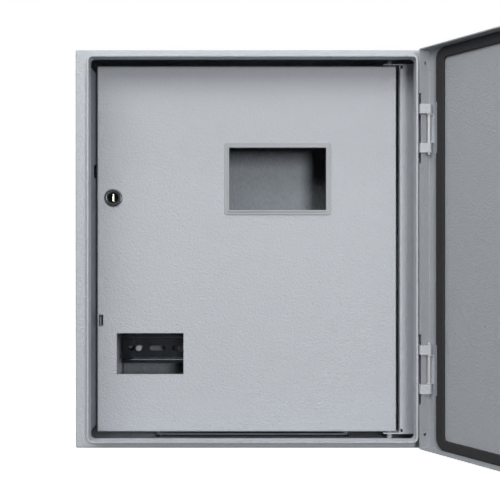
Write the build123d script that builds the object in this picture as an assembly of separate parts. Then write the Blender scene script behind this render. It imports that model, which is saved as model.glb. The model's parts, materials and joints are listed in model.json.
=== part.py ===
from build123d import *
import os

# A wall-mounted sheet-steel meter enclosure: a folded box with a rain lip, an outer door
# that stands open, and a shut inner door with a meter window and a cut-out for modular
# devices. Millimetres. The origin is the middle of the back face, X is to the right,
# Z is up, and the front faces -Y. The outer door is drawn shut and then swung open.

# Box
width = 400.0
height = 450.0
depth = 150.0
sheet = 1.2
fold_radius = 2.0
lip_height = 14.4
lip_thickness = 2.4
side_ledge = 15.2
end_ledge = 8.4
lip_corner_radius = 7.0
lip_edge_radius = 0.9

# Wall holes
wall_hole_inset = 25.0
wall_hole_diameter = 8.0

# Cable entry in the bottom wall, closed by a plate from inside
entry_width = 200.0
entry_depth = 58.0
entry_from_back = 26.0
entry_corner_radius = 6.0
gland_overlap = 16.0
gland_gasket_border = 9.0
gland_gasket_thickness = 3.0
gland_thickness = 1.5
gland_stud_inset = 3.5
gland_stud_radius = 2.5
gland_stud_beyond_plate = 7.5
gland_nut_flats = 8.0
gland_nut_thickness = 4.0

# Outer door
opening_angle = 123.0
door_overhang = 1.0
door_end_gap = 2.6
door_gap_to_lip = 4.0
door_flange_depth = 15.9
door_fold_radius = 1.6
hinge_notch_depth = 2.6
hinge_notch_length = 78.0
flange_hole_diameter = 4.0
flange_hole_from_end = 15.4
flange_hole_from_face = 8.1
gasket_width = 11.0
gasket_side_gap = 13.0
gasket_end_gap = 0.4
gasket_clearance = 0.4
gasket_hinge_relief = 1.0

# Outer hinges
hinge_height = 134.0
hinge_length = 54.0
knuckle_length = 10.5
hinge_sheet = 1.2
hinge_base_right = 2.6
hinge_neck_reach = 9.6
hinge_neck_bow = 2.8
hinge_neck_radius = 1.5
hinge_pin_radius = 1.8
hinge_pin_stick_out = 2.6
running_clearance = 0.05
moving_gap = 0.35
pin_to_panel = 4.4
bracket_base_left = 3.4
bracket_ear_gap = 0.3

# Inner door
inner_door_setback = 30.0
inner_door_end_gap = 1.3
inner_door_lock_gap = 1.7
inner_door_hinge_gap = 4.1
inner_flange_depth = 12.0
inner_fold_radius = 1.0
seal_slot_from_edge = 1.9
seal_slot_width = 5.2
seal_slot_height = 13.3
seal_slot_middle = -83.2
seal_tab_height = 9.0
seal_tab_stick_out = 5.0
seal_tab_hole_radius = 1.2

# Meter window
window_from_right = 76.2
window_from_top = 89.4
window_width = 124.0
window_height = 83.8
window_border = 5.5
window_rim = 3.4
window_corner_radius = 2.5
window_wall = 1.4
window_fit = 0.2
window_clip_length = 14.0

# Cut-out for modular devices, and the rail behind it
cutout_from_left = 22.7
cutout_from_bottom = 67.0
cutout_width = 77.8
cutout_height = 47.8
rail_length = 87.5
rail_height = 35.0
rail_channel = 27.0
rail_depth = 7.5
rail_sheet = 1.0
rail_right_of_cutout = 1.6
rail_below_cutout = 1.0
rail_behind_door = 58.0
rail_slot_length = 20.0
rail_slot_width = 6.2
rail_slot_pitch = 27.0
rail_screw_spacing = 52.4
rail_screw_shift = 2.9
bracket_sheet = 2.0
bracket_width = 24.0
bracket_head = 15.0
bracket_foot = 14.0

# Strips beside the inner door
lock_strip_stop_width = 12.6
lock_strip_short = 9.5
stop_gap = 0.4
hinge_strip_width = 27.0
hinge_strip_return = 12.0
hinge_strip_weld = 22.0
strike_slot_below = 4.5
strike_slot_above = 11.0
strike_slot_behind_ledge = 19.0
ear_overlap = 3.7
ear_length = 22.8
ear_depth = 18.0
ear_gap = 1.4
relief_radius = 2.2
relief_below_ear = 2.6
pivot_from_strip = 10.9
pivot_behind_face = 7.0
pivot_pin_radius = 2.0
pivot_head_radius = 3.2
pivot_head_length = 6.0
pivot_shank_in_door = 8.0

# Cam locks
bezel_radius = 10.5
bezel_thickness = 2.5
bezel_recess_radius = 8.0
bezel_recess_depth = 1.0
barrel_radius = 7.8
barrel_flats = 14.0
plug_radius = 6.25
plug_above_recess = 0.4
keyway_width = 1.8
keyway_height = 8.6
keyway_depth = 6.0
lock_nut_flats = 22.0
lock_nut_thickness = 4.0
cam_width = 12.0
cam_thickness = 2.4
cam_square = 7.0
cam_play = 0.3
cam_to_stop = 0.5
inner_lock_from_edge = 18.8
inner_lock_z = 59.7
inner_cam_reach = 19.0
outer_lock_from_strip = 20.9
outer_lock_z = 86.5
outer_barrel_length = 20.0
outer_cam_reach = 23.5
outer_cam_tip_width = 8.0
outer_cam_crank_at = 10.0
outer_cam_behind_ledge = 22.8

# Mounting plate and earth stud
plate_margin = 33.8
plate_thickness = 2.0
plate_stand_off = 16.8
plate_stud_inset = 15.0
spacer_radius = 6.0
stud_radius = 3.0
stud_beyond_plate = 10.0
stud_nut_flats = 10.0
stud_nut_thickness = 5.0
washer_radius = 6.0
washer_thickness = 1.6
earth_from_side = 16.8
earth_z = -150.0
earth_length = 20.0

# Small screws
screw_radius = 2.0
screw_head_radius = 3.8
screw_head_height = 2.6
screw_recess_length = 3.8
screw_recess_width = 0.95
screw_nut_flats = 7.0
screw_nut_thickness = 3.2
rail_screw_length = 7.0
bracket_screw_length = 8.0
screw_fit = 0.1

# Faces and places that follow from the sizes above
half_width = width / 2
half_height = height / 2
inside_x = half_width - sheet
inside_z = half_height - sheet
ledge_front = -depth
ledge_back = ledge_front + sheet
lip_front = ledge_front - lip_height
lip_outer_x = half_width - side_ledge
lip_outer_z = half_height - end_ledge
lip_inner_x = lip_outer_x - lip_thickness
lip_inner_z = lip_outer_z - lip_thickness

door_half_width = half_width + door_overhang
door_half_height = half_height - door_end_gap
door_inner_face = lip_front - door_gap_to_lip
door_outer_face = door_inner_face - sheet
door_flange_tip = door_outer_face + door_flange_depth
knuckle_bore = hinge_pin_radius + running_clearance
knuckle_radius = knuckle_bore + hinge_sheet
pin_x = door_half_width - sheet - knuckle_radius - moving_gap
pin_y = door_inner_face + pin_to_panel
ear_top = hinge_length / 2 - knuckle_length - bracket_ear_gap

hinge_strip_left = inside_x - hinge_strip_width
inner_face = ledge_front + inner_door_setback
inner_back = inner_face + sheet
inner_flange_end = inner_face + inner_flange_depth
inner_half_height = lip_inner_z - inner_door_end_gap
inner_door_left = inner_door_lock_gap - lip_inner_x
inner_door_right = hinge_strip_left - inner_door_hinge_gap
seal_slot_left = inner_door_left + seal_slot_from_edge
stop_front = inner_flange_end + stop_gap
stop_back = stop_front + sheet
pivot_x = hinge_strip_left - pivot_from_strip
pivot_y = inner_face + pivot_behind_face
ear_right = hinge_strip_left + ear_overlap
ear_left = ear_right - ear_length
ear_low = inner_half_height + ear_gap
ear_high = ear_low + sheet
strip_face = -lip_inner_x
inner_lock_x = inner_door_left + inner_lock_from_edge
outer_lock_x = strip_face + outer_lock_from_strip
inner_barrel_length = stop_back + cam_to_stop - cam_play - inner_face

window_middle_x = inner_door_right - window_from_right - window_width / 2
window_middle_z = inner_half_height - window_from_top - window_height / 2
cutout_left = inner_door_left + cutout_from_left
cutout_bottom = cutout_from_bottom - inner_half_height

plate_half_x = inside_x - plate_margin
plate_half_z = inside_z - plate_margin
plate_back = -sheet - plate_stand_off
plate_front = plate_back - plate_thickness
earth_x = earth_from_side - inside_x
rail_middle_x = cutout_left + cutout_width / 2 + rail_right_of_cutout
rail_middle_z = cutout_bottom + cutout_height / 2 - rail_below_cutout
rail_front = inner_face + rail_behind_door
web_front = rail_front + rail_depth - rail_sheet
web_back = web_front + rail_sheet


def block(x0, x1, y0, y1, z0, z1):
    """A box between two corners."""
    box = Box(x1 - x0, y1 - y0, z1 - z0)
    return Pos((x0 + x1) / 2, (y0 + y1) / 2, (z0 + z1) / 2) * box


def upright(x, y, z0, z1, radius):
    """A round bar along Z."""
    return Pos(x, y, (z0 + z1) / 2) * Cylinder(radius, z1 - z0)


def level(x, z, y0, y1, radius):
    """A round bar along Y."""
    return Pos(x, (y0 + y1) / 2, z) * Rot(90, 0, 0) * Cylinder(radius, y1 - y0)


def hexagon(flats, thickness):
    """A hexagonal bar along Z about the origin, measured across its flats."""
    return extrude(RegularPolygon(flats / 2, 6, major_radius=False), thickness / 2, both=True)


def slab(half_x, half_z, radius, y0, y1, x=0.0, z=0.0):
    """A rounded rectangle across Y, thick from y0 to y1."""
    outline = Plane.XZ.offset(-y1) * Pos(x, z) * RectangleRounded(2 * half_x, 2 * half_z, radius)
    return extrude(outline, y1 - y0)


def folded(points, radius, thickness, z0, z1):
    """Sheet bent along a route in the XY plane, on its left side, from z0 to z1."""
    route = FilletPolyline(*points, radius=radius)
    profile = make_face(offset(route, thickness, side=Side.LEFT, closed=True))
    return extrude(Pos(0, 0, z0) * profile, z1 - z0, dir=(0, 0, 1))


def corners(half_x, half_z):
    """The four corners of a rectangle about the box's middle."""
    return [(x, z) for x in (-half_x, half_x) for z in (-half_z, half_z)]


def swung(shape):
    """A piece of the shut outer door, turned open about the hinge pins."""
    return Pos(pin_x, pin_y, 0) * Rot(0, 0, opening_angle) * Pos(-pin_x, -pin_y, 0) * shape


def save(name, *pieces):
    """Write one node, whose pieces stay separate solids."""
    solids = [solid for piece in pieces for solid in piece.solids()]
    shape = solids[0] if len(solids) == 1 else Compound(children=solids)
    export_step(shape, f"parts/{name}.step")


# The box

def body_shell():
    shell = block(-half_width, half_width, ledge_front, 0, -half_height, half_height)
    shell = fillet(shell.edges(), fold_radius)
    cavity = block(-inside_x, inside_x, ledge_back, -sheet, -inside_z, inside_z)
    shell -= fillet(cavity.edges(), fold_radius - sheet)
    lip = slab(lip_outer_x, lip_outer_z, lip_corner_radius, lip_front, ledge_back)
    shell += fillet(lip.faces().sort_by(Axis.Y)[0].edges(), lip_edge_radius)
    shell -= slab(
        lip_inner_x, lip_inner_z, lip_corner_radius - lip_thickness, lip_front - sheet, ledge_back + sheet
    )
    for x, z in corners(half_width - wall_hole_inset, half_height - wall_hole_inset):
        shell -= level(x, z, -2 * sheet, sheet, wall_hole_diameter / 2)
    return shell - gland_opening(0, -half_height - sheet, -inside_z + sheet)


def gland_opening(margin, z0, z1):
    """The cable entry's outline, widened by a margin."""
    middle = -entry_from_back - entry_depth / 2
    outline = RectangleRounded(
        entry_width + 2 * margin, entry_depth + 2 * margin, entry_corner_radius
    )
    return extrude(Pos(0, middle, z0) * outline, z1 - z0)


def gland_studs_at():
    """Where the four studs of the gland plate stand."""
    half_x = entry_width / 2 + gland_overlap - gland_stud_inset
    near = -entry_from_back + gland_overlap - gland_stud_inset
    far = -entry_from_back - entry_depth - gland_overlap + gland_stud_inset
    return [(x, y) for x in (-half_x, half_x) for y in (far, near)]


def gland_gasket():
    top = -inside_z + gland_gasket_thickness
    return gland_opening(gland_gasket_border, -inside_z, top) - gland_opening(0, -inside_z, top)


def gland_plate():
    bottom = -inside_z + gland_gasket_thickness
    plate = gland_opening(gland_overlap, bottom, bottom + gland_thickness)
    for x, y in gland_studs_at():
        plate -= upright(x, y, bottom, bottom + gland_thickness, gland_stud_radius + screw_fit)
    return plate


def gland_studs():
    top = -inside_z + gland_gasket_thickness + gland_thickness + gland_stud_beyond_plate
    return [upright(x, y, -inside_z, top, gland_stud_radius) for x, y in gland_studs_at()]


def gland_nuts():
    bottom = -inside_z + gland_gasket_thickness + gland_thickness
    bore = Cylinder(gland_stud_radius + running_clearance, gland_nut_thickness)
    nut = hexagon(gland_nut_flats, gland_nut_thickness) - bore
    return [Pos(x, y, bottom + gland_nut_thickness / 2) * nut for x, y in gland_studs_at()]


# Strips that the inner door shuts against and hangs from

def lock_side_strip():
    """A folded strip behind the lip, with the strike slot and the seal tab."""
    end = lip_inner_z - lock_strip_short
    strip = folded(
        [
            (strip_face - sheet + lock_strip_stop_width, stop_back),
            (strip_face - sheet, stop_back),
            (strip_face - sheet, ledge_back + sheet),
            (fold_radius - inside_x, ledge_back + sheet),
        ],
        [fold_radius, fold_radius - sheet], sheet, -end, end,
    )
    strip -= block(
        strip_face - 2 * sheet, strip_face + sheet, ledge_front + strike_slot_behind_ledge, stop_front,
        outer_lock_z - strike_slot_below, outer_lock_z + strike_slot_above,
    )
    tab_x = seal_slot_left + seal_slot_width / 2
    tab_front = inner_face - seal_tab_stick_out
    tab = block(
        tab_x - sheet / 2, tab_x + sheet / 2, tab_front, stop_back,
        seal_slot_middle - seal_tab_height / 2, seal_slot_middle + seal_tab_height / 2,
    )
    hole = Rot(0, 90, 0) * Cylinder(seal_tab_hole_radius, 2 * sheet)
    return strip + tab - Pos(tab_x, tab_front + 2 * seal_tab_hole_radius, seal_slot_middle) * hole


def hinge_side_strip():
    """A folded strip on the side wall, with an ear above and below the inner door."""
    strip = folded(
        [
            (hinge_strip_left, inner_face + hinge_strip_return),
            (hinge_strip_left, inner_face),
            (inside_x, inner_face),
            (inside_x, inner_face + hinge_strip_weld),
        ],
        fold_radius, sheet, -ear_high, ear_high,
    )
    for side in (-1, 1):
        low, high = sorted((side * ear_low, side * ear_high))
        ear = block(ear_left, ear_right, inner_face, inner_face + ear_depth, low, high)
        ear = fillet(ear.edges().filter_by(Axis.Z).sort_by(Axis.X)[:2], relief_radius)
        strip += ear
        strip -= upright(pivot_x, pivot_y, low, high, pivot_pin_radius)
        relief_z = side * (ear_low - relief_below_ear)
        strip -= level(ear_right - relief_radius, relief_z, inner_face - 1, inner_back + 1, relief_radius)
    return strip


def pivot_pin(side):
    """A headed pin that drops through an ear into the inner door's flange."""
    head = upright(pivot_x, pivot_y, ear_high, ear_high + pivot_head_length, pivot_head_radius)
    head = fillet(head.edges().group_by(Axis.Z)[-1], pivot_head_radius / 6)
    shank_end = inner_half_height - pivot_shank_in_door
    shank = upright(pivot_x, pivot_y, shank_end, ear_high, pivot_pin_radius)
    pin = head + chamfer(shank.edges().group_by(Axis.Z)[0], pivot_pin_radius / 4)
    return pin if side > 0 else mirror(pin, Plane.XY)


# Outer hinges, drawn about Z = 0 with the door shut

def body_hinge():
    """One folded sheet: a foot on the ledge and two necks rolled round the pin."""
    foot_front = ledge_front - hinge_sheet
    neck_x = pin_x - hinge_neck_reach
    crest = pin_y - knuckle_bore
    start = (pin_x, crest)
    bow = (neck_x, pin_y - hinge_neck_bow)
    heel = (neck_x, foot_front)
    toe = (pin_x + hinge_base_right, foot_front)
    half = hinge_length / 2
    neck = folded([start, bow, heel, toe], hinge_neck_radius, hinge_sheet, -half, half)
    eye = upright(pin_x, pin_y, -half, half, knuckle_radius)
    eye -= block(pin_x - knuckle_radius, pin_x, crest, pin_y, -half, half)
    bore = upright(pin_x, pin_y, -half, half, knuckle_bore)
    gap = half - knuckle_length
    window = block(
        neck_x - 2 * hinge_sheet, pin_x + 2 * knuckle_radius, door_inner_face, foot_front, -gap, gap
    )
    return neck + eye - bore - window


def door_hinge():
    """A channel on the door's inner face, with an ear inside each knuckle."""
    base = block(
        pin_x - bracket_base_left, pin_x + knuckle_radius,
        door_inner_face, door_inner_face + hinge_sheet, -ear_top, ear_top,
    )
    for side in (-1, 1):
        low, high = sorted((side * ear_top, side * (ear_top - hinge_sheet)))
        base += block(pin_x - knuckle_radius, pin_x + knuckle_radius, door_inner_face, pin_y, low, high)
        base += upright(pin_x, pin_y, low, high, knuckle_radius)
    return base - upright(pin_x, pin_y, -ear_top, ear_top, knuckle_bore)


def hinge_pin():
    """A pin whose bare end sticks out below, where it is pulled out by."""
    half = hinge_length / 2
    pin = upright(pin_x, pin_y, -half - hinge_pin_stick_out, half, hinge_pin_radius)
    return chamfer(pin.edges().group_by(Axis.Z)[0], hinge_pin_radius / 3)


def hinge_pair(shape):
    """An upper hinge piece, and the lower one that mirrors it."""
    upper = Pos(0, 0, hinge_height) * shape
    return upper, mirror(upper, Plane.XY)


# Outer door, drawn shut

def outer_door():
    door = block(
        -door_half_width, door_half_width, door_outer_face, door_flange_tip,
        -door_half_height, door_half_height,
    )
    rim = door.faces().sort_by(Axis.Y)[0].edges() + door.edges().filter_by(Axis.Y)
    door = fillet(rim, door_fold_radius)
    inside = block(
        sheet - door_half_width, door_half_width - sheet, door_inner_face, door_flange_tip + 1,
        sheet - door_half_height, door_half_height - sheet,
    )
    rim = inside.faces().sort_by(Axis.Y)[0].edges() + inside.edges().filter_by(Axis.Y)
    door -= fillet(rim, door_fold_radius - sheet)
    hole_y = door_outer_face + flange_hole_from_face
    hole = Rot(0, 90, 0) * Cylinder(flange_hole_diameter / 2, 4 * sheet)
    for side in (-1, 1):
        middle = side * hinge_height
        door -= block(
            pin_x, door_half_width + 1, door_flange_tip - hinge_notch_depth, door_flange_tip + 1,
            middle - hinge_notch_length / 2, middle + hinge_notch_length / 2,
        )
        door -= Pos(door_half_width, hole_y, side * (door_half_height - flange_hole_from_end)) * hole
    return door - barrel(screw_fit, door_outer_face - 1, door_inner_face + 1, outer_lock_x, outer_lock_z)


def door_gasket():
    """A foam ring that meets the lip when the door shuts."""
    out_x = door_half_width - sheet - gasket_side_gap
    out_z = door_half_height - sheet - gasket_end_gap
    back = lip_front - gasket_clearance
    ring = slab(out_x, out_z, lip_corner_radius + gasket_width / 2, door_inner_face, back)
    hole = slab(
        out_x - gasket_width, out_z - gasket_width, lip_corner_radius - lip_thickness,
        door_inner_face, back,
    )
    ring -= hole
    for side in (-1, 1):
        reach = hinge_length / 2 + gasket_hinge_relief
        ring -= block(
            lip_outer_x + gasket_hinge_relief / 2, door_half_width, door_inner_face - 1, back + 1,
            side * hinge_height - reach, side * hinge_height + reach,
        )
    return ring


# Inner door

def inner_door():
    door = block(
        inner_door_left, inner_door_right, inner_face, inner_flange_end,
        -inner_half_height, inner_half_height,
    )
    rim = door.faces().sort_by(Axis.Y)[0].edges() + door.edges().filter_by(Axis.Y)
    door = fillet(rim, inner_fold_radius + sheet / 2)
    door -= block(
        inner_door_left + sheet, inner_door_right - sheet, inner_back, inner_flange_end + 1,
        sheet - inner_half_height, inner_half_height - sheet,
    )
    door -= window_tube(window_fit, inner_face - 1, inner_back + 1)
    door -= block(
        cutout_left, cutout_left + cutout_width, inner_face - 1, inner_back + 1,
        cutout_bottom, cutout_bottom + cutout_height,
    )
    door -= block(
        seal_slot_left, seal_slot_left + seal_slot_width, inner_face - 1, inner_back + 1,
        seal_slot_middle - seal_slot_height / 2, seal_slot_middle + seal_slot_height / 2,
    )
    door -= barrel(screw_fit, inner_face - 1, inner_back + 1, inner_lock_x, inner_lock_z)
    return door - upright(
        pivot_x, pivot_y, -half_height, half_height, pivot_pin_radius + running_clearance
    )


def window_tube(margin, y0, y1):
    """The outline of the window frame's collar, widened by a margin."""
    half_x = window_width / 2 - window_border + window_wall + margin
    half_z = window_height / 2 - window_border + window_wall + margin
    return slab(half_x, half_z, window_wall + margin, y0, y1, window_middle_x, window_middle_z)


def window_frame():
    """A moulded frame: a rim, a raised bead, a collar and clips behind the panel."""
    half_x, half_z = window_width / 2, window_height / 2
    rim = slab(
        half_x, half_z, window_corner_radius, inner_face - sheet, inner_face,
        window_middle_x, window_middle_z,
    )
    rim = fillet(rim.faces().sort_by(Axis.Y)[0].edges(), sheet / 2)
    bead = slab(
        half_x - window_rim, half_z - window_rim, window_corner_radius / 2,
        inner_face - 2 * sheet, inner_face, window_middle_x, window_middle_z,
    )
    bead = fillet(bead.faces().sort_by(Axis.Y)[0].edges(), sheet / 3)
    end = inner_back + 3 * window_wall
    frame = rim + bead + window_tube(0, inner_face - sheet, end)
    clip_front = inner_back + running_clearance
    collar_x = half_x - window_border + window_wall
    collar_z = half_z - window_border + window_wall
    clips = [
        (clip_x, side * collar_z, window_clip_length / 2, window_wall)
        for side in (-1, 1) for clip_x in (-half_x / 2, half_x / 2)
    ] + [(side * collar_x, 0, window_wall, window_clip_length / 2) for side in (-1, 1)]
    for x, z, reach_x, reach_z in clips:
        x, z = x + window_middle_x, z + window_middle_z
        frame += block(
            x - reach_x, x + reach_x, clip_front, clip_front + window_wall, z - reach_z, z + reach_z
        )
    return frame - slab(
        half_x - window_border, half_z - window_border, window_wall / 2,
        inner_face - 3 * sheet, end + 1, window_middle_x, window_middle_z,
    )


# Cam locks, drawn with the panel's front face at Y = 0

def barrel(margin, y0, y1, x=0.0, z=0.0):
    """The lock barrel's outline, round with two flats, widened by a margin."""
    round_bar = level(x, z, y0, y1, barrel_radius + margin)
    reach = barrel_flats / 2 + margin
    return round_bar & block(x - reach, x + reach, y0, y1, z - 2 * barrel_radius, z + 2 * barrel_radius)


def lock_housing(length):
    bezel = level(0, 0, -bezel_thickness, 0, bezel_radius)
    bezel = fillet(bezel.faces().sort_by(Axis.Y)[0].edges(), bezel_thickness / 2)
    bezel -= level(0, 0, -2 * bezel_thickness, bezel_recess_depth - bezel_thickness, bezel_recess_radius)
    housing = bezel + barrel(0, -bezel_recess_depth, length)
    return housing - level(0, 0, -2 * bezel_thickness, length + 1, plug_radius + running_clearance)


def lock_nut():
    nut = Rot(90, 0, 0) * hexagon(lock_nut_flats, lock_nut_thickness)
    nut = Pos(0, sheet + lock_nut_thickness / 2, 0) * nut
    return nut - level(0, 0, 0, 2 * lock_nut_thickness, barrel_radius + running_clearance)


def lock_plug(length):
    """The turning core, with a keyway in front and a square for the cam behind."""
    front = bezel_recess_depth - bezel_thickness - plug_above_recess
    seat = length + cam_play
    plug = level(0, 0, front, seat, plug_radius)
    plug = chamfer(plug.faces().sort_by(Axis.Y)[0].edges(), plug_above_recess)
    plug += block(
        -cam_square / 2, cam_square / 2, seat, seat + cam_thickness, -cam_square / 2, cam_square / 2
    )
    plug -= block(
        -keyway_width / 2, keyway_width / 2, front - 1, front + keyway_depth,
        -keyway_height / 2, keyway_height / 2,
    )
    return plug - level(0, 0, seat - 2 * cam_thickness, seat + 2 * cam_thickness, screw_radius + screw_fit)


def lock_cam(length, reach, tip_width, crank=0.0):
    """A cam that points up, with its tip set back by the crank."""
    front = length + cam_play
    back = front + cam_thickness
    half = cam_width / 2
    tip = tip_width / 2
    if crank:
        route = [
            (reach, back + crank), (outer_cam_crank_at, back + crank),
            (outer_cam_crank_at, back), (-half, back),
        ]
        bends = [1.4 * cam_thickness, 0.4 * cam_thickness]
        arm = folded(route, bends, cam_thickness, -tip, tip)
    else:
        arm = block(-half, reach, front, back, -tip, tip)
    arm = fillet(arm.edges().filter_by(Axis.Y).group_by(Axis.X)[-1], 0.95 * tip)
    hub = block(-half, half, front, back, -half, half)
    hub = fillet(hub.edges().filter_by(Axis.Y), half / 2)
    square = cam_square / 2 + running_clearance
    arm += hub
    arm -= block(-square, square, front - 1, back + 1, -square, square)
    return Rot(0, -90, 0) * arm


def cam_screw(length):
    head_front = length + cam_play + cam_thickness
    head = level(0, 0, head_front, head_front + screw_head_height, cam_square)
    head = fillet(head.faces().sort_by(Axis.Y)[-1].edges(), screw_head_height / 2)
    return head + level(0, 0, head_front - 2 * cam_thickness, head_front, screw_radius)


# Inside the box

def mounting_plate():
    plate = slab(plate_half_x, plate_half_z, fold_radius, plate_front, plate_back)
    for x, z in plate_studs_at():
        plate -= level(x, z, plate_front, plate_back, stud_radius + screw_fit)
    for x, z in rail_feet_at():
        plate -= level(x, z, plate_front, plate_back, screw_radius)
    return plate


def plate_studs_at():
    return corners(plate_half_x - plate_stud_inset, plate_half_z - plate_stud_inset)


def plate_studs():
    end = plate_front - stud_beyond_plate
    return [level(x, z, end, -sheet, stud_radius) for x, z in plate_studs_at()]


def plate_spacers():
    bore = stud_radius + screw_fit
    return [
        level(x, z, plate_back, -sheet, spacer_radius) - level(x, z, plate_back, -sheet, bore)
        for x, z in plate_studs_at()
    ]


def washer(x, z, back):
    """A washer whose back face lies at a given depth."""
    front = back - washer_thickness
    return level(x, z, front, back, washer_radius) - level(x, z, front, back, stud_radius + screw_fit)


def stud_nut(x, z, back):
    """A nut whose back face lies at a given depth."""
    nut = Rot(90, 0, 0) * hexagon(stud_nut_flats, stud_nut_thickness)
    nut = Pos(x, back - stud_nut_thickness / 2, z) * nut
    return nut - level(x, z, back - stud_nut_thickness, back, stud_radius + running_clearance)


def plate_washers():
    return [washer(x, z, plate_front) for x, z in plate_studs_at()]


def plate_nuts():
    return [stud_nut(x, z, plate_front - washer_thickness) for x, z in plate_studs_at()]


def earth_stud():
    return level(earth_x, earth_z, -sheet - earth_length, -sheet, stud_radius)


def earth_fittings():
    """Two washers and two nuts that clamp an earth lead."""
    first_washer = washer(earth_x, earth_z, -sheet)
    first_nut = stud_nut(earth_x, earth_z, -sheet - washer_thickness)
    middle = -sheet - washer_thickness - stud_nut_thickness
    second_washer = washer(earth_x, earth_z, middle)
    second_nut = stud_nut(earth_x, earth_z, middle - washer_thickness)
    return [first_washer, second_washer], [first_nut, second_nut]


def din_rail():
    """A slotted top-hat rail, bent from one sheet."""
    lip_end = rail_height / 2
    wall = rail_channel / 2 - rail_sheet
    outline = [
        (-lip_end, rail_front), (-wall, rail_front), (-wall, web_front),
        (wall, web_front), (wall, rail_front), (lip_end, rail_front),
    ]
    outer, inner = 1.5 * rail_sheet, 0.5 * rail_sheet
    rail = folded(outline, [outer, inner, inner, outer], rail_sheet, 0, rail_length)
    rail = Pos(rail_middle_x - rail_length / 2, 0, rail_middle_z) * Rot(0, 90, 0) * rail
    count = int(rail_length / rail_slot_pitch)
    for i in range(count):
        x = rail_middle_x + (i - (count - 1) / 2) * rail_slot_pitch
        slot = Pos(x, rail_middle_z) * SlotOverall(rail_slot_length, rail_slot_width)
        rail -= extrude(Plane.XZ.offset(-web_back - 1) * slot, rail_sheet + 2)
    return rail


def rail_screws_at():
    """The rail's fixing points, in its outer slots."""
    middle = rail_middle_x + rail_screw_shift
    reach = rail_screw_spacing / 2
    return [(middle - reach, rail_middle_z), (middle + reach, rail_middle_z)]


def rail_feet_at():
    """The screws that hold the two rail brackets to the mounting plate."""
    left, right = rail_screws_at()
    reach = bracket_head / 2 + bracket_foot / 2
    return [(left[0] - reach, rail_middle_z), (right[0] + reach, rail_middle_z)]


def rail_bracket(side):
    """A Z-shaped stand-off between the mounting plate and the rail's web."""
    screw_x = rail_screws_at()[1][0]
    riser = screw_x + bracket_head / 2
    foot_front = plate_front - bracket_sheet
    route = [
        (screw_x - bracket_head / 2, web_back), (riser, web_back),
        (riser, foot_front), (riser + bracket_foot, foot_front),
    ]
    bends = [1.5 * bracket_sheet, 0.5 * bracket_sheet]
    half = bracket_width / 2
    bracket = folded(route, bends, bracket_sheet, rail_middle_z - half, rail_middle_z + half)
    hole = screw_radius + screw_fit
    bracket -= level(screw_x, rail_middle_z, web_back - 1, web_back + bracket_sheet + 1, hole)
    bracket -= level(rail_feet_at()[1][0], rail_middle_z, foot_front - 1, plate_front + 1, hole)
    return bracket if side > 0 else mirror(bracket, Plane.YZ.offset(rail_middle_x + rail_screw_shift))


def pan_screw(x, z, seat, length):
    """A pan-head screw whose head lies in front of its seat."""
    head = level(x, z, seat - screw_head_height, seat, screw_head_radius)
    head = fillet(head.faces().sort_by(Axis.Y)[0].edges(), screw_head_height / 2.5)
    length_half, width_half = screw_recess_length / 2, screw_recess_width / 2
    for reach_x, reach_z in ((length_half, width_half), (width_half, length_half)):
        head -= block(
            x - reach_x, x + reach_x, seat - screw_head_height - 1, seat - screw_head_height / 2,
            z - reach_z, z + reach_z,
        )
    return head + level(x, z, seat, seat + length, screw_radius)


def rail_screws():
    return [pan_screw(x, z, web_front, rail_screw_length) for x, z in rail_screws_at()]


def rail_nuts():
    back = web_back + bracket_sheet
    bore = Cylinder(screw_radius + running_clearance, screw_nut_thickness)
    nut = Rot(90, 0, 0) * (hexagon(screw_nut_flats, screw_nut_thickness) - bore)
    return [Pos(x, back + screw_nut_thickness / 2, z) * nut for x, z in rail_screws_at()]


def bracket_screws():
    seat = plate_front - bracket_sheet
    return [pan_screw(x, z, seat, bracket_screw_length) for x, z in rail_feet_at()]


def save_box():
    save("body_shell", body_shell())
    save("lock_side_strip", lock_side_strip())
    save("hinge_side_strip", hinge_side_strip())
    save("upper_pivot_pin", pivot_pin(1))
    save("lower_pivot_pin", pivot_pin(-1))
    save("gland_gasket", gland_gasket())
    save("gland_plate", gland_plate())
    save("gland_studs", *gland_studs())
    save("gland_nuts", *gland_nuts())
    save("mounting_plate", mounting_plate())
    save("plate_studs", *plate_studs())
    save("plate_spacers", *plate_spacers())
    save("plate_washers", *plate_washers())
    save("plate_nuts", *plate_nuts())
    save("earth_stud", earth_stud())
    washers, nuts = earth_fittings()
    save("earth_washers", *washers)
    save("earth_nuts", *nuts)
    save("din_rail", din_rail())
    save("left_rail_bracket", rail_bracket(-1))
    save("right_rail_bracket", rail_bracket(1))
    save("rail_screws", *rail_screws())
    save("rail_nuts", *rail_nuts())
    save("bracket_screws", *bracket_screws())


def save_hinges():
    for name, piece in zip(("upper", "lower"), hinge_pair(body_hinge())):
        save(f"{name}_body_hinge", piece)
    for name, piece in zip(("upper", "lower"), hinge_pair(door_hinge())):
        save(f"{name}_door_hinge", swung(piece))
    for name, piece in zip(("upper", "lower"), hinge_pair(hinge_pin())):
        save(f"{name}_hinge_pin", piece)


def save_lock(name, place, length, reach, tip_width, crank=0.0):
    """Write one cam lock's pieces at the place where its panel holds it."""
    save(f"{name}_lock_housing", place(lock_housing(length)))
    save(f"{name}_lock_nut", place(lock_nut()))
    save(f"{name}_lock_plug", place(lock_plug(length)))
    save(f"{name}_lock_cam", place(lock_cam(length, reach, tip_width, crank)))
    save(f"{name}_cam_screw", place(cam_screw(length)))


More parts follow.
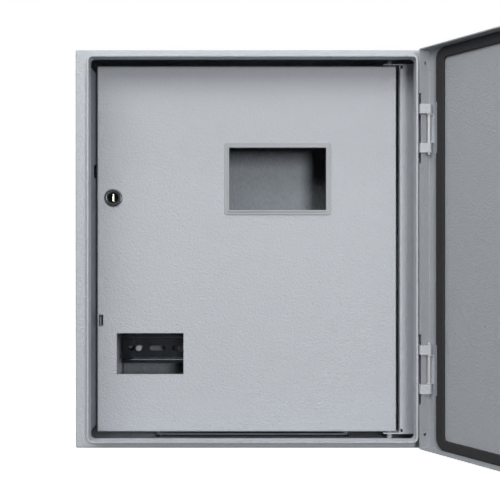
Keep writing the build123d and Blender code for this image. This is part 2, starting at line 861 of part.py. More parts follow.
def save_doors():
    save("inner_door", inner_door())
    save("window_frame", window_frame())
    save("outer_door", swung(outer_door()))
    save("door_gasket", swung(door_gasket()))
    inner_place = Pos(inner_lock_x, inner_face, inner_lock_z)
    outer_place = Pos(outer_lock_x, door_outer_face, outer_lock_z)
    crank = ledge_front + outer_cam_behind_ledge - door_outer_face - outer_barrel_length - cam_play
    save_lock(
        "inner", lambda piece: inner_place * piece,
        inner_barrel_length, inner_cam_reach, cam_width,
    )
    save_lock(
        "outer", lambda piece: swung(outer_place * piece),
        outer_barrel_length, outer_cam_reach, outer_cam_tip_width, crank,
    )


os.makedirs("parts", exist_ok=True)
save_box()
save_hinges()
save_doors()
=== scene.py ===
import json
import math

import bmesh
import bpy
from bpy.props import FloatProperty, FloatVectorProperty, PointerProperty
from mathutils import Matrix, Vector

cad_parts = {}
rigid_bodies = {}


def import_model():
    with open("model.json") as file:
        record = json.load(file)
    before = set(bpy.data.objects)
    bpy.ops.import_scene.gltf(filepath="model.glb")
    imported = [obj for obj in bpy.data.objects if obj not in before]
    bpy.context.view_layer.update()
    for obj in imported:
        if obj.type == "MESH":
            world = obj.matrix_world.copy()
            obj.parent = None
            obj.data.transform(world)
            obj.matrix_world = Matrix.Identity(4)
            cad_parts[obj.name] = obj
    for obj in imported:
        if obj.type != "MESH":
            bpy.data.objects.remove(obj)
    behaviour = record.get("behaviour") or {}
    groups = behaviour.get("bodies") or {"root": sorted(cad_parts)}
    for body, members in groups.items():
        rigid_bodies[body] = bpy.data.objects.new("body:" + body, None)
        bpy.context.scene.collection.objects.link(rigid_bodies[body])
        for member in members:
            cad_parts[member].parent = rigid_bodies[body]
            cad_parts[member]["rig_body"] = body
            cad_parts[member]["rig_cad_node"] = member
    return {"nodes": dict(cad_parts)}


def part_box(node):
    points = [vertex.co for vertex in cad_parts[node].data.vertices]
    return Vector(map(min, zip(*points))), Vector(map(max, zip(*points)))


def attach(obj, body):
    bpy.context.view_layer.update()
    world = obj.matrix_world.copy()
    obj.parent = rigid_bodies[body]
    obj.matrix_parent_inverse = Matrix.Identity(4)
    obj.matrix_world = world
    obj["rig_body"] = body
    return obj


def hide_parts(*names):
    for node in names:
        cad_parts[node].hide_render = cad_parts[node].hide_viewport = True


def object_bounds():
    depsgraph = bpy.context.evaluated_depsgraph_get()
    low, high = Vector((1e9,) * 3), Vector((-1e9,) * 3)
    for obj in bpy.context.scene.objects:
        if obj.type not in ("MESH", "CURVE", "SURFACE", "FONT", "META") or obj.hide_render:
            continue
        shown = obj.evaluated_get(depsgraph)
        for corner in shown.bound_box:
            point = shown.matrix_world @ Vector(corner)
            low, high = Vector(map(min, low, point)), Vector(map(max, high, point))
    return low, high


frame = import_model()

bl_info = {
    "name": "Meter enclosure",
    "version": (1, 0, 0),
    "blender": (4, 5, 0),
    "location": "3D View > Sidebar > Enclosure",
    "description": "Finishes a sheet-steel meter enclosure and models its threaded and soft parts",
    "category": "Object",
}

# Every size is in metres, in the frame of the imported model.

CAD_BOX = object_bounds()

BOX_FRONT = -0.150

# Points of a node's mesh that are nearer than this are one point.
SAME_PLACE = 0.00001

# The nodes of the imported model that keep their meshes, by finish.
FINISHED_NODES = {
    "powder_coat": (
        "body_shell", "hinge_side_strip", "inner_door",
        "upper_body_hinge", "lower_body_hinge", "upper_door_hinge", "lower_door_hinge",
    ),
    # The outer door's coat is darkened as painted shade.
    "door_paint": ("outer_door",),
    # The lock-side strip and the gland plate take this dark finish as painted shade for their
    # recesses; the mounting plate's dark tone is partly painted shade too.
    "galvanised_sheet": ("mounting_plate", "lock_side_strip", "gland_plate"),
    "bright_zinc": (
        "din_rail", "left_rail_bracket", "right_rail_bracket", "outer_lock_cam", "inner_lock_cam",
        "outer_cam_screw", "inner_cam_screw", "outer_lock_nut", "inner_lock_nut",
    ),
    "satin_zinc": (
        "upper_pivot_pin", "lower_pivot_pin", "plate_spacers", "upper_hinge_pin", "lower_hinge_pin",
    ),
    "nickel_plate": ("outer_lock_plug", "inner_lock_plug"),
    "cast_zinc": ("outer_lock_housing", "inner_lock_housing"),
    "moulded_plastic": ("window_frame",),
}

STUD_RADIUS = 0.003
GLAND_STUD_RADIUS = 0.0025
SCREW_HEAD_RADIUS = 0.0038
SCREW_HEAD_HEIGHT = 0.0026
SCREW_SHANK_RADIUS = 0.002
WASHER_RADIUS = 0.006
WASHER_BORE = 0.0031
WASHER_THICKNESS = 0.0016

# Width across flats, height and bore radius of the nuts of each node.
NUT_SIZES = {
    "plate_nuts": (0.010, 0.005, 0.0030),
    "earth_nuts": (0.010, 0.005, 0.0030),
    "rail_nuts": (0.007, 0.0032, 0.0020),
    "gland_nuts": (0.008, 0.004, 0.0025),
}

# Place, width and height of each lamp. All of them aim at the same point.
LIGHTS_AIM = (0.0, -0.12, 0.0)
LIGHTS = {
    "panel": ((-0.58, -1.56, 1.05), 2.5, 1.05),
    "lamp": ((0.430, -2.27, 0.200), 0.38, 0.56),
    "overhead": ((0.0, -0.62, 1.90), 1.2, 0.5),
}


class FinishSettings(bpy.types.PropertyGroup):
    """Colours and textures of the enclosure's surfaces."""

    paint: FloatVectorProperty(
        name="Paint", description="Colour of the powder coat", subtype="COLOR",
        default=(0.500, 0.525, 0.560), min=0.0, max=1.0,
    )
    # Painted shade: this factor darkens the outer door's coat against the box's, standing in for
    # shade on the door.
    door_painted_shade: FloatProperty(
        name="Door tone", description="Tone of the outer door's coat against the box",
        subtype="FACTOR", default=0.76, min=0.3, max=1.0,
    )
    paint_wrinkle: FloatProperty(
        name="Wrinkle", description="Width of one wrinkle of the powder coat",
        subtype="DISTANCE", unit="LENGTH", default=0.0026, min=0.0003, max=0.01,
    )
    paint_relief: FloatProperty(
        name="Relief", description="Height of the wrinkles of the powder coat",
        subtype="DISTANCE", unit="LENGTH", default=0.0009, min=0.0, max=0.003,
    )
    zinc: FloatVectorProperty(
        name="Zinc", description="Colour of the plated fittings", subtype="COLOR",
        default=(0.58, 0.59, 0.60), min=0.0, max=1.0,
    )
    nickel: FloatVectorProperty(
        name="Nickel", description="Colour of the locks", subtype="COLOR",
        default=(0.56, 0.55, 0.53), min=0.0, max=1.0,
    )
    foam: FloatVectorProperty(
        name="Foam", description="Colour of the gaskets", subtype="COLOR",
        default=(0.016, 0.016, 0.018), min=0.0, max=1.0,
    )
    plastic: FloatVectorProperty(
        name="Plastic", description="Colour of the window frame", subtype="COLOR",
        default=(0.42, 0.445, 0.47), min=0.0, max=1.0,
    )


class HardwareSettings(bpy.types.PropertyGroup):
    """Sizes of the threaded pieces and of the gasket."""

    stud_pitch: FloatProperty(
        name="Stud pitch", description="Thread pitch of the studs",
        subtype="DISTANCE", unit="LENGTH", default=0.001, min=0.0004, max=0.002,
    )
    screw_pitch: FloatProperty(
        name="Screw pitch", description="Thread pitch of the small screws",
        subtype="DISTANCE", unit="LENGTH", default=0.0007, min=0.0003, max=0.002,
    )
    gasket_round: FloatProperty(
        name="Gasket rounding", description="Radius of the gasket's crown",
        subtype="DISTANCE", unit="LENGTH", default=0.0028, min=0.0005, max=0.0034,
    )


class StageSettings(bpy.types.PropertyGroup):
    """Light, floor and camera."""

    panel: FloatProperty(
        name="Panel", description="Power of the wide light above the camera, to the left",
        subtype="POWER", unit="POWER", default=24.2, min=0.0, max=400.0,
    )
    lamp: FloatProperty(
        name="Lamp", description="Power of the small light to the right of the camera",
        subtype="POWER", unit="POWER", default=19.3, min=0.0, max=200.0,
    )
    overhead: FloatProperty(
        name="Overhead", description="Power of the light straight above the box",
        subtype="POWER", unit="POWER", default=11.0, min=0.0, max=400.0,
    )
    room: FloatProperty(
        name="Room", description="Light of the room that comes from everywhere",
        default=0.15, min=0.0, max=1.0,
    )
    distance: FloatProperty(
        name="Camera distance", description="From the box's front edge to the camera",
        subtype="DISTANCE", unit="LENGTH", default=0.95, min=0.3, max=5.0,
    )
    lens: FloatProperty(
        name="Lens", description="Focal length of the camera",
        subtype="DISTANCE_CAMERA", unit="CAMERA", default=60.55, min=20.0, max=200.0,
    )


class Wire:
    """One output of a shader tree, so that its maths reads as an expression."""

    def __init__(self, tree, socket):
        self.tree = tree
        self.socket = socket

    def maths(self, operation, first, second):
        return self.tree.node("Math", {"operation": operation}, {0: first, 1: second})

    def __add__(self, other):
        return self.maths("ADD", self, other)

    def __sub__(self, other):
        return self.maths("SUBTRACT", self, other)

    def __rsub__(self, other):
        return self.maths("SUBTRACT", other, self)

    def __mul__(self, other):
        return self.maths("MULTIPLY", self, other)

    __radd__ = __add__
    __rmul__ = __mul__


class Tree:
    """The shader tree of a material, the world or a light."""

    def __init__(self, owner):
        owner.use_nodes = True
        self.nodes = owner.node_tree.nodes
        self.links = owner.node_tree.links
        self.nodes.clear()

    def node(self, kind, settings=None, sockets=None, output=0):
        """Add a node, set its settings, then its sockets, and give one of its outputs."""
        made = self.nodes.new("ShaderNode" + kind)
        for name, value in (settings or {}).items():
            setattr(made, name, value)
        for name, value in (sockets or {}).items():
            if isinstance(value, Wire):
                self.links.new(value.socket, made.inputs[name])
            else:
                made.inputs[name].default_value = value
        return Wire(self, made.outputs[output]) if made.outputs else None

    def place(self):
        """Where a point lies, in the part's own frame."""
        return self.node("TexCoord", output="Object")

    def noise(self, width, detail=2.0, roughness=0.5, distortion=0.0, vector=None):
        """Noise whose features are about that wide, between 0 and 1."""
        return self.node("TexNoise", {}, {
            "Vector": vector or self.place(), "Scale": 1.0 / width, "Detail": detail,
            "Roughness": roughness, "Distortion": distortion,
        })

    def tint(self, colour, other, factor):
        """A colour that goes to another one with a factor."""
        return self.node("Mix", {"data_type": "RGBA"}, {
            "Factor": factor, 6: (*colour, 1.0), 7: (*other, 1.0),
        }, output=2)

    def relief(self, height, distance):
        """A normal bent by a height between 0 and 1 that stands for that distance."""
        return self.node("Bump", {}, {"Height": height, "Distance": distance})

    def surface(self, **sockets):
        """Close the tree with a Principled shader."""
        named = {name.replace("_", " "): value for name, value in sockets.items()}
        shader = self.node("BsdfPrincipled", {}, named)
        self.node("OutputMaterial", {}, {"Surface": shader})


def shade(colour, *factors):
    """A colour times one factor, or times one for each channel."""
    red, green, blue = factors if len(factors) == 3 else factors * 3
    return (min(1.0, colour[0] * red), min(1.0, colour[1] * green), min(1.0, colour[2] * blue))


def powder_coat(tree, settings, painted_shade_factor=1.0):
    """Fine wrinkled powder coat, slightly uneven in gloss."""
    width = settings.paint_wrinkle
    wrinkle = tree.noise(width, 2.0, 0.5, 0.9)
    grain = tree.noise(width / 4, 1.0, 0.5)
    drift = tree.noise(0.16, 2.0, 0.5)
    # A factor below one darkens the whole coat as painted shade; the outer door's coat gets it.
    dark, light = 0.965 * painted_shade_factor, 1.03 * painted_shade_factor
    patches = drift * 0.45 + wrinkle * 0.55
    tree.surface(
        Base_Color=tree.tint(shade(settings.paint, dark), shade(settings.paint, light), patches),
        Metallic=0.10,
        Specular_IOR_Level=0.3,
        Roughness=0.46 + wrinkle * 0.08 + drift * 0.06,
        Normal=tree.relief(wrinkle + grain * 0.25, settings.paint_relief),
    )


def door_paint(tree, settings):
    """The same coat, darkened on the outer door as painted shade."""
    powder_coat(tree, settings, settings.door_painted_shade)


def bright_zinc(tree, settings):
    """Plated steel with drawing marks and a bluish passivation."""
    stretched = tree.node("Mapping", {}, {"Vector": tree.place(), "Scale": (0.08, 1.0, 1.0)})
    marks = tree.noise(0.00035, 3.0, 0.6, vector=stretched)
    cloud = tree.noise(0.012, 3.0, 0.6)
    blued = shade(settings.zinc, 0.88, 0.97, 1.10)
    tree.surface(
        Base_Color=tree.tint(shade(blued, 0.45), shade(blued, 0.72), cloud * 0.5 + marks * 0.5),
        Metallic=1.0,
        Roughness=0.07 + marks * 0.10 + cloud * 0.05,
        Normal=tree.relief(marks, 0.000012),
    )


def satin_zinc(tree, settings):
    """Drawn bar, tumbled and plated, duller than the stampings."""
    fine = tree.noise(0.0005, 3.0, 0.6)
    cloud = tree.noise(0.005, 2.0, 0.6)
    pale = shade(settings.zinc, 0.95)
    tree.surface(
        Base_Color=tree.tint(shade(pale, 0.94), shade(pale, 1.04), cloud),
        Metallic=0.35,
        Roughness=0.42 + fine * 0.12,
        Normal=tree.relief(fine, 0.00001),
    )


def galvanised_sheet(tree, settings):
    """Dull hot-dipped sheet with vertical rolling marks, its colour kept dark as painted shade for
    the inside of the box.
    """
    stretched = tree.node("Mapping", {}, {"Vector": tree.place(), "Scale": (1.0, 1.0, 0.35)})
    marks = tree.noise(0.0022, 3.0, 0.62, vector=stretched)
    cloud = tree.noise(0.02, 3.0, 0.6)
    # Painted shade: the zinc is darkened well below its own colour, standing in for the little
    # light inside the box.
    dull_with_painted_shade = shade(settings.zinc, 0.37, 0.40, 0.435)
    tree.surface(
        Base_Color=tree.tint(shade(dull_with_painted_shade, 0.35), shade(dull_with_painted_shade, 1.65), marks * 0.8 + cloud * 0.2),
        Metallic=0.55,
        Roughness=0.48 + marks * 0.14,
        Normal=tree.relief(marks, 0.00012),
    )


def nickel_plate(tree, settings):
    """Polished plating of the lock plugs."""
    cloud = tree.noise(0.004, 3.0, 0.6)
    fine = tree.noise(0.0004, 2.0, 0.6)
    tree.surface(
        Base_Color=tree.tint(shade(settings.nickel, 0.9), shade(settings.nickel, 1.06), cloud),
        Metallic=1.0,
        Roughness=0.06 + fine * 0.05 + cloud * 0.03,
        Normal=tree.relief(fine, 0.000006),
    )


def cast_zinc(tree, settings):
    """Darker plating over the tumbled casting of the lock housings."""
    blued = shade(settings.nickel, 0.88, 0.97, 1.08)
    cloud = tree.noise(0.004, 3.0, 0.6)
    fine = tree.noise(0.0004, 2.0, 0.6)
    tree.surface(
        Base_Color=tree.tint(shade(blued, 0.34), shade(blued, 0.46), cloud),
        Metallic=1.0,
        Roughness=0.16 + fine * 0.10 + cloud * 0.05,
        Normal=tree.relief(fine, 0.000006),
    )


def gasket_foam(tree, settings):
    """Foamed-in-place seal with a closed skin and fine pores."""
    pores = tree.node("TexVoronoi", {"feature": "F1"}, {"Vector": tree.place(), "Scale": 1400.0})
    swell = tree.noise(0.006, 2.0, 0.5)
    tree.surface(
        Base_Color=tree.tint(shade(settings.foam, 0.7), shade(settings.foam, 1.9), pores),
        Roughness=0.72 + swell * 0.16,
        Normal=tree.relief(pores * 0.5 + swell, 0.00012),
    )


def moulded_plastic(tree, settings):
    """Fine-eroded moulding, a shade darker than the paint."""
    grain = tree.noise(0.0004, 2.0, 0.6)
    cloud = tree.noise(0.03, 2.0, 0.5)
    tree.surface(
        Base_Color=tree.tint(shade(settings.plastic, 0.80), shade(settings.plastic, 0.86), cloud),
        Roughness=0.38 + grain * 0.12,
        Normal=tree.relief(grain, 0.00002),
    )


MAKERS = {
    "powder_coat": powder_coat,
    "door_paint": door_paint,
    "bright_zinc": bright_zinc,
    "satin_zinc": satin_zinc,
    "galvanised_sheet": galvanised_sheet,
    "nickel_plate": nickel_plate,
    "cast_zinc": cast_zinc,
    "gasket_foam": gasket_foam,
    "moulded_plastic": moulded_plastic,
}


def finish_of(name):
    """The material of that name, made when it is first asked for."""
    material = bpy.data.materials.get(name)
    if material is None:
        material = bpy.data.materials.new(name)
        MAKERS[name](Tree(material), bpy.context.scene.enclosure_finish)
    return material


def coat(piece, name):
    """Give a piece one material all over."""
    piece.data.materials.clear()
    piece.data.materials.append(finish_of(name))


def coat_nodes(*finishes):
    """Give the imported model's nodes these finishes."""
    for name in finishes:
        for node in FINISHED_NODES[name]:
            coat(frame["nodes"][node], name)


def deselect():
    """Leave nothing selected."""
    bpy.ops.object.select_all(action="DESELECT")


def pick(piece):
    """Make a piece the only selected one."""
    deselect()
    piece.select_set(True)
    bpy.context.view_layer.objects.active = piece


def settle(piece):
    """Put a piece's place into its mesh."""
    pick(piece)
    bpy.ops.object.transform_apply(location=True, rotation=True, scale=True)


def apply_modifier(piece, kind, **settings):
    """Add a modifier with these settings, and apply it."""
    pick(piece)
    modifier = piece.modifiers.new(kind, kind)
    for name, value in settings.items():
        setattr(modifier, name, value)
    bpy.ops.object.modifier_apply(modifier=modifier.name)


def select_faces(piece, test):
    """Enter edit mode with only the faces selected that pass a test."""
    pick(piece)
    bpy.ops.object.mode_set(mode="EDIT")
    bpy.ops.mesh.select_mode(type="FACE")
    bpy.ops.mesh.select_all(action="DESELECT")
    mesh = bmesh.from_edit_mesh(piece.data)
    for face in mesh.faces:
        if test(face):
            face.select_set(True)
    bmesh.update_edit_mesh(piece.data)


def leave_edit():
    """Go back to object mode."""
    bpy.ops.object.mode_set(mode="OBJECT")


def cylinder(name, radius, depth, sides, at):
    """A cylinder along Z round a middle point."""
    deselect()
    bpy.ops.mesh.primitive_cylinder_add(vertices=sides, radius=radius, depth=depth, location=at)
    piece = bpy.context.active_object
    piece.name = name
    settle(piece)
    return piece


def cut(piece, tool, operation="DIFFERENCE"):
    """Boolean a tool into a piece, and remove the tool."""
    apply_modifier(piece, "BOOLEAN", object=tool, operation=operation, solver="EXACT")
    bpy.data.objects.remove(tool)


def smooth(piece, degrees):
    """Shade smoothly across edges that turn by less than that angle."""
    pick(piece)
    bpy.ops.object.shade_smooth_by_angle(angle=math.radians(degrees))


def threaded_rod(name, radius, pitch, length):
    """A rod along Z from 0 to its length, with a triangular thread and flat ends."""
    root = radius - 0.6 * pitch
    turns = math.ceil(length / pitch) + 2
    steps = 20
    profile = [(root, 0.0), (radius, 0.4 * pitch), (radius, 0.6 * pitch), (root, pitch)]
    mesh = bpy.data.meshes.new(name)
    mesh.from_pydata([(r, 0.0, z - pitch) for r, z in profile], [(0, 1), (1, 2), (2, 3)], [])
    rod = bpy.data.objects.new(name, mesh)
    bpy.context.scene.collection.objects.link(rod)
    apply_modifier(
        rod, "SCREW", angle=2 * math.pi, screw_offset=pitch, iterations=turns,
        steps=steps, render_steps=steps, use_merge_vertices=False, use_smooth_shade=False,
    )
    bpy.ops.object.mode_set(mode="EDIT")
    bpy.ops.mesh.select_all(action="SELECT")
    bpy.ops.mesh.remove_doubles(threshold=pitch / 100)
    bpy.ops.mesh.select_mode(type="EDGE")
    bpy.ops.mesh.select_all(action="DESELECT")
    bpy.ops.mesh.select_non_manifold()
    bpy.ops.mesh.edge_face_add()
    for height, outward in ((0.0, -1.0), (length, 1.0)):
        bpy.ops.mesh.select_all(action="SELECT")
        bpy.ops.mesh.bisect(
            plane_co=(0, 0, height), plane_no=(0, 0, outward), use_fill=True, clear_outer=True,
        )
    bpy.ops.mesh.select_all(action="SELECT")
    bpy.ops.mesh.normals_make_consistent(inside=False)
    leave_edit()
    return rod


def hexagon_nut(name, flats, height, bore):
    """A nut on the XY plane whose corners are turned down at both ends."""
    across = flats / math.cos(math.pi / 6)
    nut = cylinder(name, across / 2, height, 6, (0, 0, height / 2))
    turned = cylinder("turned", across / 2 * 1.01, height, 48, (0, 0, height / 2))
    bevel = 0.62 * (across - flats)
    apply_modifier(
        turned, "BEVEL", width=bevel * 0.58, segments=1, limit_method="ANGLE",
        angle_limit=math.radians(60),
    )
    cut(nut, turned, "INTERSECT")
    hole = cylinder("hole", bore, 2 * height, 32, (0, 0, height / 2))
    cut(nut, hole)
    return nut


def flat_washer(name, radius, bore, thickness):
    """A stamped washer on the XY plane, with one edge rounded over."""
    ring = cylinder(name, radius, thickness, 48, (0, 0, thickness / 2))
    select_faces(ring, lambda face: abs(face.normal.z) > 0.9)
    bpy.ops.mesh.inset(thickness=radius - bore)
    bpy.ops.mesh.bridge_edge_loops()
    leave_edit()
    apply_modifier(
        ring, "BEVEL", width=thickness * 0.16, segments=2, limit_method="ANGLE",
        angle_limit=math.radians(50),
    )
    return ring


def pan_head_screw(name, length, pitch):
    """A screw whose head stands on the XY plane, its threaded shank going down."""
    radius, height = SCREW_HEAD_RADIUS, SCREW_HEAD_HEIGHT
    head = cylinder(name, radius, height, 40, (0, 0, height / 2))
    select_faces(head, lambda face: face.normal.z > 0.9)
    bpy.ops.mesh.bevel(offset=height * 0.55, segments=5, profile=0.55, affect="EDGES")
    leave_edit()
    depth = height * 0.8
    for turn in (0.0, math.pi / 2):
        deselect()
        bpy.ops.mesh.primitive_cube_add(size=1.0, location=(0, 0, height))
        blade = bpy.context.active_object
        blade.scale = (radius * 1.15, radius * 0.46, 2 * depth)
        blade.rotation_euler.z = turn
        settle(blade)
        select_faces(blade, lambda face: face.normal.z < -0.9)
        bpy.ops.transform.resize(value=(0.45, 0.6, 1.0))
        leave_edit()
        cut(head, blade)
    shank = threaded_rod("shank", SCREW_SHANK_RADIUS, pitch, length)
    shank.location = (0, 0, -length)
    settle(shank)
    join([head, shank])
    return head


def join(pieces):
    """Join pieces into the first one."""
    pick(pieces[0])
    for piece in pieces[1:]:
        piece.select_set(True)
    bpy.ops.object.join()


def repeated(piece, places, turn=None):
    """Copy a piece drawn along Z to each place, laid along -Y unless a turn is given."""
    turn = turn or Matrix.Rotation(math.radians(90), 4, "X")
    copies = []
    for place in places:
        copy = piece.copy()
        copy.data = piece.data.copy()
        bpy.context.scene.collection.objects.link(copy)
        copy.matrix_world = Matrix.Translation(place) @ turn
        settle(copy)
        copies.append(copy)
    name = piece.name
    bpy.data.objects.remove(piece)
    join(copies)
    copies[0].name = name
    return copies[0]


def merged_copy(node, name):
    """A copy of a node's mesh with its loose triangles made whole faces."""
    piece = frame["nodes"][node].copy()
    piece.data = piece.data.copy()
    piece.parent = None
    piece.name = name
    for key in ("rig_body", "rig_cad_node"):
        del piece[key]
    bpy.context.scene.collection.objects.link(piece)
    pick(piece)
    bpy.ops.object.mode_set(mode="EDIT")
    bpy.ops.mesh.select_all(action="SELECT")
    bpy.ops.mesh.customdata_custom_splitnormals_clear()
    bpy.ops.mesh.remove_doubles(threshold=SAME_PLACE)
    bpy.ops.mesh.dissolve_limited(angle_limit=math.radians(1))
    leave_edit()
    return piece


def stand_in(piece, node, finish, degrees=35):
    """Finish a piece that stands for a node, on the node's body."""
    smooth(piece, degrees)
    coat(piece, finish)
    body = frame["nodes"][node]["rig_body"]
    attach(piece, body)
    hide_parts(node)


def places_of(node, upright=False):
    """Where the solids of a node stand: the middles of their back faces, or of their undersides."""
    mesh = bmesh.new()
    mesh.from_mesh(frame["nodes"][node].data)
    bmesh.ops.remove_doubles(mesh, verts=mesh.verts, dist=SAME_PLACE)
    places = []
    left = set(mesh.verts)
    while left:
        island, edge = set(), [left.pop()]
        while edge:
            vertex = edge.pop()
            island.add(vertex)
            for link in vertex.link_edges:
                other = link.other_vert(vertex)
                if other in left:
                    left.remove(other)
                    edge.append(other)
        low = Vector(min(v.co[i] for v in island) for i in range(3))
        high = Vector(max(v.co[i] for v in island) for i in range(3))
        middle = (low + high) / 2
        if upright:
            middle.z = low.z
        else:
            middle.y = high.y
        places.append(middle)
    mesh.free()
    return sorted(places, key=lambda place: tuple(round(c, 6) for c in place))


def ends(low, high, radius):
    """The centre lines of two like round pieces that reach from low to high."""
    return low + radius, high - radius


class ENCLOSURE_OT_painted_sheet(bpy.types.Operator):
    """Finish the folded sheet parts, painted or galvanised, with painted shade on the outer door,
    the lock-side strip and the gland plate
    """

    bl_idname = "enclosure.painted_sheet"
    bl_label = "Sheet parts"

    def execute(self, context):
        coat_nodes("powder_coat", "door_paint", "galvanised_sheet")
        return {"FINISHED"}


class ENCLOSURE_OT_plated_fittings(bpy.types.Operator):
    """Finish the pins, rail, brackets, cams and locks"""

    bl_idname = "enclosure.plated_fittings"
    bl_label = "Plated fittings"

    def execute(self, context):
        coat_nodes("bright_zinc", "satin_zinc", "nickel_plate", "cast_zinc")
        return {"FINISHED"}


class ENCLOSURE_OT_window_frame(bpy.types.Operator):
    """Finish the moulded window frame"""

    bl_idname = "enclosure.window_frame"
    bl_label = "Window frame"

    def execute(self, context):
        coat_nodes("moulded_plastic")
        return {"FINISHED"}


class ENCLOSURE_OT_gaskets(bpy.types.Operator):
    """Model the door's foam bead and the cable entry's seal"""

    bl_idname = "enclosure.gaskets"
    bl_label = "Gaskets"

    def execute(self, context):
        crown = context.scene.enclosure_hardware.gasket_round
        for node, width, segments in (("door_gasket", crown, 6), ("gland_gasket", crown / 5, 2)):
            bead = merged_copy(node, node.replace("gasket", "seal"))
            apply_modifier(
                bead, "BEVEL", width=width, segments=segments, limit_method="ANGLE",
                angle_limit=math.radians(50), use_clamp_overlap=True,
            )
            stand_in(bead, node, "gasket_foam", 60)
        return {"FINISHED"}


class ENCLOSURE_OT_threaded_studs(bpy.types.Operator):
    """Model the threaded studs of the mounting plate, the earth lead and the gland plate"""

    bl_idname = "enclosure.threaded_studs"
    bl_label = "Threaded studs"

    def execute(self, context):
        pitch = context.scene.enclosure_hardware.stud_pitch
        for node in ("plate_studs", "earth_stud"):
            low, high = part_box(node)
            if node == "earth_stud":
                sides, heights = [(low.x + high.x) / 2], [(low.z + high.z) / 2]
            else:
                sides = ends(low.x, high.x, STUD_RADIUS)
                heights = ends(low.z, high.z, STUD_RADIUS)
            rod = threaded_rod(node + "_threaded", STUD_RADIUS, pitch, high.y - low.y)
            studs = repeated(rod, [Vector((x, high.y, z)) for x in sides for z in heights])
            stand_in(studs, node, "bright_zinc")
        low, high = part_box("gland_studs")
        sides = ends(low.x, high.x, GLAND_STUD_RADIUS)
        depths = ends(low.y, high.y, GLAND_STUD_RADIUS)
        rod = threaded_rod("gland_studs_threaded", GLAND_STUD_RADIUS, 0.8 * pitch, high.z - low.z)
        places = [Vector((x, y, low.z)) for x in sides for y in depths]
        studs = repeated(rod, places, Matrix.Identity(4))
        stand_in(studs, "gland_studs", "bright_zinc")
        return {"FINISHED"}


class ENCLOSURE_OT_nuts_and_washers(bpy.types.Operator):
    """Model the turned nuts and stamped washers"""

    bl_idname = "enclosure.nuts_and_washers"
    bl_label = "Nuts and washers"

    def execute(self, context):
        for node in ("plate_nuts", "earth_nuts", "rail_nuts"):
            nut = hexagon_nut(node + "_turned", *NUT_SIZES[node])
            stand_in(repeated(nut, places_of(node)), node, "bright_zinc")
        for node in ("plate_washers", "earth_washers"):
            ring = flat_washer(node + "_stamped", WASHER_RADIUS, WASHER_BORE, WASHER_THICKNESS)
            stand_in(repeated(ring, places_of(node)), node, "bright_zinc", 50)
        nut = hexagon_nut("gland_nuts_turned", *NUT_SIZES["gland_nuts"])
        nuts = repeated(nut, places_of("gland_nuts", upright=True), Matrix.Identity(4))
        stand_in(nuts, "gland_nuts", "bright_zinc")
        return {"FINISHED"}


class ENCLOSURE_OT_screws(bpy.types.Operator):
    """Model the cross-recessed screws of the rail and its brackets"""

    bl_idname = "enclosure.screws"
    bl_label = "Screws"

    def execute(self, context):
        pitch = context.scene.enclosure_hardware.screw_pitch
        for node in ("rail_screws", "bracket_screws"):
            low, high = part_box(node)
            seat = low.y + SCREW_HEAD_HEIGHT
            middle = (low.z + high.z) / 2
            screw = pan_head_screw(node + "_threaded", high.y - seat, pitch)
            sides = ends(low.x, high.x, SCREW_HEAD_RADIUS)
            screws = repeated(screw, [Vector((x, seat, middle)) for x in sides])
            stand_in(screws, node, "satin_zinc")
        return {"FINISHED"}


class ENCLOSURE_OT_stage(bpy.types.Operator):
    """Set the floor, the lights, the room and the camera"""

    bl_idname = "enclosure.stage"
    bl_label = "Stage"

    def execute(self, context):
        settings = context.scene.enclosure_stage
        floor_height = CAD_BOX[0].z
        deselect()
        bpy.ops.mesh.primitive_plane_add(size=200.0, location=(0, 0, floor_height - 0.0002))
        floor = context.active_object
        floor.name = "floor"
        settle(floor)
        coat_floor(floor)
        light_room(context, settings)
        for name, (place, width, height) in LIGHTS.items():
            add_light(context, name, place, width, height, getattr(settings, name))
        aim_camera(context, settings)
        context.scene.view_settings.view_transform = "Standard"
        return {"FINISHED"}


def coat_floor(floor):
    """Pale floor, white where the camera sees it lit, and darker for the light it throws back."""
    material = bpy.data.materials.new("floor")
    tree = Tree(material)
    seen = tree.node("LightPath", output="Is Camera Ray")
    lit = tree.node("BsdfDiffuse", {}, {"Color": (0.62, 0.62, 0.62, 1.0)})
    glow = tree.node("Emission", {}, {"Color": (1, 1, 1, 1), "Strength": 0.97})
    shown = tree.node("AddShader", {}, {0: lit, 1: glow})
    away = tree.node("SeparateXYZ", {}, {0: tree.place()}, output=1)
    near = tree.node("MapRange", {}, {
        "Value": away, "From Min": -0.75, "From Max": -0.30, "To Min": 0.02, "To Max": 0.18,
    })
    grey = tree.node("CombineColor", {}, {0: near, 1: near, 2: near})
    bounced = tree.node("BsdfDiffuse", {}, {"Color": grey})
    mixed = tree.node("MixShader", {}, {0: seen, 1: bounced, 2: shown})
    tree.node("OutputMaterial", {}, {"Surface": mixed})
    floor.data.materials.append(material)


def light_room(context, settings):
    """An even room, which the camera and gloss see as white behind the object."""
    world = bpy.data.worlds.new("room")
    context.scene.world = world
    tree = Tree(world)
    camera = tree.node("LightPath", output="Is Camera Ray")
    glass = tree.node("LightPath", output="Is Transmission Ray")
    gloss = tree.node("LightPath", output="Is Glossy Ray")
    side = tree.node("SeparateXYZ", {}, {0: tree.node("TexCoord", output="Generated")}, output=1)
    behind = tree.node("MapRange", {}, {"Value": side, "From Min": -0.75, "From Max": 0.10})
    even = (1 - gloss) * settings.room + gloss * behind
    strength = tree.node("Math", {"operation": "MAXIMUM"}, {0: camera + glass, 1: even})
    mixed = tree.node("Background", {}, {"Color": (1, 1, 1, 1), "Strength": strength})
    tree.node("OutputWorld", {}, {"Surface": mixed})


def add_light(context, name, place, width, height, power):
    """A flat lamp that faces the common aim."""
    deselect()
    bpy.ops.object.light_add(type="AREA", location=place)
    light = context.active_object
    light.name = name
    light.data.shape = "RECTANGLE"
    light.data.size = width
    light.data.size_y = height
    light.data.energy = power
    aim = Vector(LIGHTS_AIM) - Vector(place)
    light.rotation_euler = aim.to_track_quat("-Z", "Y").to_euler()


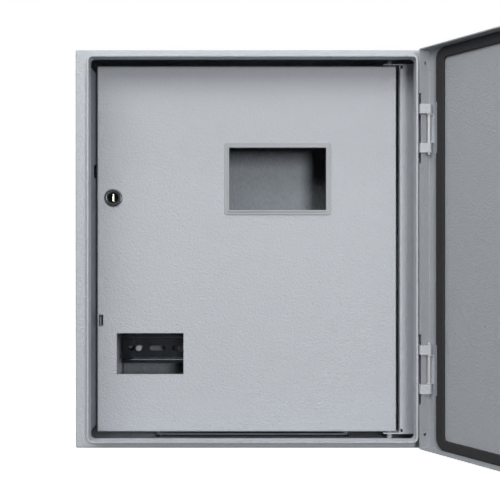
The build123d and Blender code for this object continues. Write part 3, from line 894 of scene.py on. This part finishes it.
def aim_camera(context, settings):
    """A level camera that looks along +Y at the middle of the box."""
    side, height = -0.0027, -0.0012
    deselect()
    bpy.ops.object.camera_add(
        location=(side, BOX_FRONT - settings.distance, height), rotation=(math.radians(90), 0, 0),
    )
    camera = context.active_object
    camera.data.lens = settings.lens
    camera.data.sensor_width = 36.0
    camera.data.clip_start = 0.01
    context.scene.camera = camera


class ENCLOSURE_PT_panel(bpy.types.Panel):
    """Sizes, colours and the steps that build the enclosure's looks"""

    bl_label = "Meter enclosure"
    bl_space_type = "VIEW_3D"
    bl_region_type = "UI"
    bl_category = "Enclosure"

    def draw(self, context):
        for group in GROUPS:
            settings = getattr(context.scene, GROUPS[group])
            box = self.layout.box()
            for name in group.__annotations__:
                box.prop(settings, name)
        for operator in OPERATORS:
            self.layout.operator(operator.bl_idname)


GROUPS = {
    FinishSettings: "enclosure_finish",
    HardwareSettings: "enclosure_hardware",
    StageSettings: "enclosure_stage",
}
OPERATORS = (
    ENCLOSURE_OT_painted_sheet,
    ENCLOSURE_OT_plated_fittings,
    ENCLOSURE_OT_window_frame,
    ENCLOSURE_OT_gaskets,
    ENCLOSURE_OT_threaded_studs,
    ENCLOSURE_OT_nuts_and_washers,
    ENCLOSURE_OT_screws,
    ENCLOSURE_OT_stage,
)


def register():
    for group, name in GROUPS.items():
        bpy.utils.register_class(group)
        setattr(bpy.types.Scene, name, PointerProperty(type=group))
    for operator in OPERATORS:
        bpy.utils.register_class(operator)
    bpy.utils.register_class(ENCLOSURE_PT_panel)


def unregister():
    bpy.utils.unregister_class(ENCLOSURE_PT_panel)
    for operator in reversed(OPERATORS):
        bpy.utils.unregister_class(operator)
    for group, name in reversed(GROUPS.items()):
        delattr(bpy.types.Scene, name)
        bpy.utils.unregister_class(group)


def main():
    register()
    bpy.ops.enclosure.painted_sheet()
    bpy.ops.enclosure.plated_fittings()
    bpy.ops.enclosure.window_frame()
    bpy.ops.enclosure.gaskets()
    bpy.ops.enclosure.threaded_studs()
    bpy.ops.enclosure.nuts_and_washers()
    bpy.ops.enclosure.screws()
    bpy.ops.enclosure.stage()


if __name__ == "__main__":
    main()
